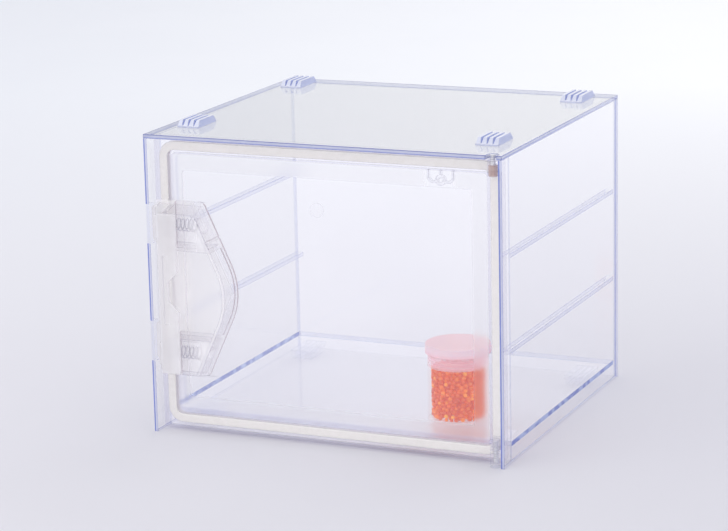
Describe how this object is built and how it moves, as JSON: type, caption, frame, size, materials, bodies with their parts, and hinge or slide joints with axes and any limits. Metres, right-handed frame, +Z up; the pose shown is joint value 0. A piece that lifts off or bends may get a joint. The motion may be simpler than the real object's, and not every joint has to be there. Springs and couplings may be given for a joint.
{
  "type": "filament dryer box",
  "caption": "Clear bench-top dry box with a gasketed side-hinged door, squeeze latch grip, shelf rails, stacking blocks and a lidded jar of silica gel.",
  "frame": {"origin": "bottom centre of the whole object's bounding box, the handle included, on the surface the cabinet stands on", "axes": "+X to the right seen from the door side, +Y towards the back, +Z up"},
  "size_m": [0.3, 0.289, 0.249],
  "materials": {
    "clear_plate": "polished clear sheet with blue-tinted cut edges",
    "block_plastic": "blue-tinted clear moulding",
    "clear_moulding": "clear moulding",
    "clear_door": "clear moulding, polished window in a fine matt border",
    "clear_handle": "clear moulding, faintly warm grey",
    "gasket_cream": "smooth cream seal",
    "bush_amber": "translucent brown bearing plastic",
    "bush_grey": "olive grey bearing plastic",
    "pin_steel": "ground",
    "spring_steel": "drawn wire",
    "jar_clear": "clear moulding",
    "gel_orange": "translucent orange beads",
    "cap_pink": "translucent, lit pink by the gel",
    "liner_white": "foam sheet"
  },
  "bodies": {
    "cabinet": {"left_wall": "clear_plate", "right_wall": "clear_plate", "back_panel": "clear_plate", "floor_panel": "clear_plate", "top_panel": "clear_plate", "sealing_frame": "clear_plate", "shelf_rail_left_lower": "clear_plate", "shelf_rail_left_upper": "clear_plate", "shelf_rail_right_lower": "clear_plate", "shelf_rail_right_upper": "clear_plate", "stacking_block_front_left": "block_plastic", "stacking_block_back_left": "block_plastic", "stacking_block_front_right": "block_plastic", "stacking_block_back_right": "block_plastic", "underside_block_front_left": "block_plastic", "underside_block_back_left": "block_plastic", "underside_block_front_right": "block_plastic", "underside_block_back_right": "block_plastic", "hinge_cap_top": "clear_moulding", "hinge_pin_top": "pin_steel", "hinge_bracket_bottom": "clear_moulding", "hinge_pin_bottom": "pin_steel"},
    "door": {"door_panel": "clear_door", "door_gasket": "gasket_cream", "card_hook": "clear_door", "hinge_bush_top": "bush_amber", "hinge_bush_bottom": "bush_grey", "handle_grip": "clear_handle"},
    "latch": {"latch_slider": "clear_handle", "latch_spring_lower": "spring_steel", "latch_spring_upper": "spring_steel"},
    "jar": {"jar_body": "jar_clear", "silica_gel": "gel_orange"},
    "jar_lid": {"jar_cap": "cap_pink", "cap_liner": "liner_white"}
  },
  "joints": [
    {"name": "door_hinge", "type": "hinge", "parent": "cabinet", "child": "door", "pos_m": [0.1415, -0.125, 0.12], "axis": [0, 0, 1], "range_deg": [0, 170]},
    {"name": "latch_slide", "type": "slide", "parent": "door", "child": "latch", "axis": [1, 0, 0], "range_m": [-0.003, 0.004], "stiffness_N_per_m": 600, "springref_m": -0.008, "deforming": ["latch_spring_lower", "latch_spring_upper"]},
    {"name": "jar_lift", "type": "slide", "parent": "cabinet", "child": "jar", "axis": [0, 0, 1], "range_m": [0, 0.1]},
    {"name": "jar_lid_lift", "type": "slide", "parent": "jar", "child": "jar_lid", "axis": [0, 0, 1], "range_m": [0, 0.04]}
  ]
}
